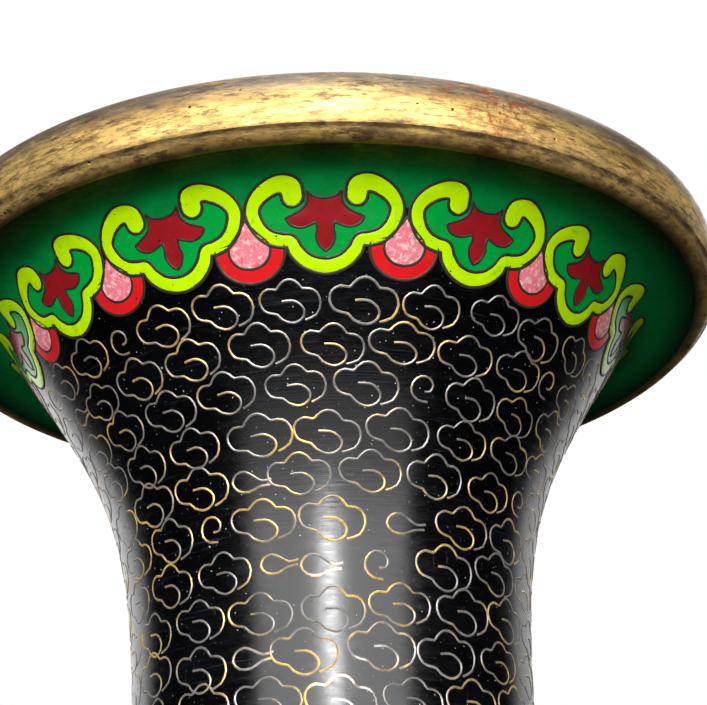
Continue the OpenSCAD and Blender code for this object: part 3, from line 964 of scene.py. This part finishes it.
def lappet_ring():
    """A lime border, a dark red fill and two wires, side by side round the foot."""
    outer = evenly(lappet_outline(0.55), 0.5, True)
    band = ribbon(np.c_[outer, np.full(len(outer), 0.5)], 0.03, CELL_DEPTH, 4, closed=True)
    core = patch(evenly(lappet_outline(0.8), 0.5, True), (0, -1), 0.05, CELL_DEPTH)
    wires = [wire_round(lappet_outline(0.0), 0.15), wire_round(lappet_outline(1.1), 0.15)]
    places = [FRONT + 2 * math.pi * k / LAPPETS for k in range(LAPPETS)]
    for name, cells, lift, material, slot, nodes in (
        ("lappet_borders_lime", [band], 0.03, LIME, "lime_enamel", ["lappet_borders"]),
        ("lappet_fills_red", [core], 0.01, LEAF_RED, "dark_red_enamel", ["lappet_fills"]),
        ("lappet_outline_wires", wires, 0.04, DARK_WIRE, "wire", ()),
    ):
        ring = [(raised(cell, lift), LAPPET_S, a) for a in places for cell in cells]
        dress(laid(name, ring), material, nodes)


lappet_ring()

# ---------------------------------------------------------------- room, light and camera
def pale_floor():
    """A plain pale table that glows a little, so that it stays even under every lamp."""
    bpy.ops.mesh.primitive_circle_add(vertices=96, radius=2.5, fill_type="NGON", location=(0, 0, 0))
    floor = bpy.context.object
    floor.name = "studio_floor"
    f = Finish("floor_pale", (0.42, 0.42, 0.415), 0.7)
    f.tint(f.span(f.noise(40, 3), 0.4, 0.7), (0.40, 0.40, 0.395), 0.5)
    f.put("Emission Color", (1.0, 1.0, 0.99, 1.0))
    f.put("Emission Strength", 0.52)
    floor.data.materials.append(f.mat)
    floor.visible_glossy = False
    floor.visible_diffuse = False
    floor.visible_shadow = False


def world_light():
    """Plain white to look at; in reflections, bright strips behind each side of the vase
    and darkness in front; a low even light on everything else."""
    world = bpy.data.worlds.new("studio")
    bpy.context.scene.world = world
    world.use_nodes = True
    nodes, links = world.node_tree.nodes, world.node_tree.links

    def background(strength):
        n = nodes.new("ShaderNodeBackground")
        n.inputs["Color"].default_value = (1, 1, 1, 1)
        n.inputs["Strength"].default_value = strength
        return n

    def step(value, low, high, to_low, to_high):
        n = nodes.new("ShaderNodeMapRange")
        n.interpolation_type = "SMOOTHSTEP"
        for key, v in zip(RANGE_KEYS, (low, high, to_low, to_high)):
            n.inputs[key].default_value = v
        links.new(value, n.inputs["Value"])
        return n.outputs[0]

    def times(a, b):
        n = nodes.new("ShaderNodeMath")
        n.operation = "MULTIPLY"
        links.new(a, n.inputs[0])
        links.new(b, n.inputs[1])
        return n.outputs[0]

    place = nodes.new("ShaderNodeTexCoord")
    split = nodes.new("ShaderNodeSeparateXYZ")
    links.new(place.outputs["Generated"], split.inputs[0])
    behind = step(split.outputs["Y"], 0.45, 0.70, 0.006, 1.0)
    above = step(split.outputs["Z"], 0.0, 0.14, 0.03, 1.0)
    sides = nodes.new("ShaderNodeFloatCurve")
    ramp = nodes.new("ShaderNodeMapRange")
    for key, v in zip(RANGE_KEYS, (-0.85, 0.85, 0.0, 1.0)):
        ramp.inputs[key].default_value = v
    links.new(split.outputs["X"], ramp.inputs["Value"])
    links.new(ramp.outputs[0], sides.inputs["Value"])
    curve = sides.mapping.curves[0]
    curve.points[0].location = (0.0, 0.68)
    curve.points[1].location = (1.0, 0.60)
    curve.points.new(0.3, 0.55)
    curve.points.new(0.5, 0.33)
    curve.points.new(0.75, 0.36)
    sides.mapping.update()
    mirror_light = background(1.0)
    level = nodes.new("ShaderNodeMath")
    level.operation = "MULTIPLY"
    level.inputs[1].default_value = STRIPS
    links.new(times(times(behind, above), sides.outputs[0]), level.inputs[0])
    links.new(level.outputs[0], mirror_light.inputs["Strength"])

    path = nodes.new("ShaderNodeLightPath")

    def choose(factor, no, yes):
        n = nodes.new("ShaderNodeMixShader")
        links.new(factor, n.inputs["Fac"])
        links.new(no, n.inputs[1])
        links.new(yes, n.inputs[2])
        return n.outputs[0]

    unseen = choose(path.outputs["Is Glossy Ray"], background(AMBIENT).outputs[0],
                    mirror_light.outputs[0])
    shown = choose(path.outputs["Is Camera Ray"], unseen, background(1.0).outputs[0])
    links.new(shown, nodes["World Output"].inputs["Surface"])


def softbox(name, place, target, width, height, power):
    """A rectangular lamp that faces the target; metres and watts."""
    data = bpy.data.lights.new(name, "AREA")
    data.shape = "RECTANGLE"
    data.size, data.size_y = width, height
    data.energy = power
    lamp = bpy.data.objects.new(name, data)
    bpy.context.scene.collection.objects.link(lamp)
    lamp.location = place
    lamp.rotation_mode = "QUATERNION"
    lamp.rotation_quaternion = (Vector(target) - Vector(place)).to_track_quat("-Z", "Y")
    lamp.visible_camera = False
    return lamp


AMBIENT = 0.018      # low even light on everything
STRIPS = 2.4         # brightness of the strips behind the vase
pale_floor()
world_light()
# A wide window seen in the glaze, dimmer below the level of the sill
for name, z, height, power in (
    ("front_window", 0.82, 1.63, 96),
    ("window_upper", 0.73, 0.86, 30),
    ("sill", -0.245, 0.47, 13),
    ("below_sill", -0.91, 0.86, 13),
):
    softbox(name, (0.04, -2.6, z), (0, 0, z), 4.6, height, power).visible_diffuse = False
softbox("window_core", (0.0, -2.5, 0.44), (0, 0, 0.44), 0.26, 0.72, 23).visible_diffuse = False
softbox("high_front", (-0.2, -2.5, 2.175), (0, 0, 0.25), 2.0, 0.75, 34)
softbox("front_fill", (0.04, -2.6, 1.03), (0, 0, 0.21), 4.0, 1.24, 38).visible_glossy = False
softbox("low_key", (-0.42, -2.2, -0.14), (0, 0, 0.24), 1.3, 0.64, 62).visible_glossy = False
softbox("overhead", (0.2, 0.3, 1.4), (0, 0, 0.1), 1.2, 1.2, 8)
softbox("high_back", (0.6, 2.6, 1.9), (0, 0, 0.15), 2.2, 1.2, 28)


def camera():
    """Close under the mouth, looking up at the front of the neck."""
    distance, drop = 3.2348 * RIM_R * MM, 1.6584 * RIM_R * MM
    yaw, pitch, roll = 0.0247, 0.4357, -0.0413
    ahead = Vector((math.sin(yaw) * math.cos(pitch), math.cos(yaw) * math.cos(pitch),
                    math.sin(pitch)))
    right = Vector((math.cos(yaw), -math.sin(yaw), 0))
    up = right.cross(ahead)
    right, up = (right * math.cos(roll) + up * math.sin(roll),
                 up * math.cos(roll) - right * math.sin(roll))
    data = bpy.data.cameras.new("view")
    data.sensor_width = 36
    data.lens = 70.057
    data.clip_start = 0.01
    cam = bpy.data.objects.new("view", data)
    bpy.context.scene.collection.objects.link(cam)
    turn = Matrix((right, up, -ahead)).transposed().to_4x4()
    cam.matrix_world = Matrix.Translation((0, -distance, HEIGHT * MM - drop)) @ turn
    bpy.context.scene.camera = cam


camera()
bpy.context.scene.view_settings.view_transform = "Standard"
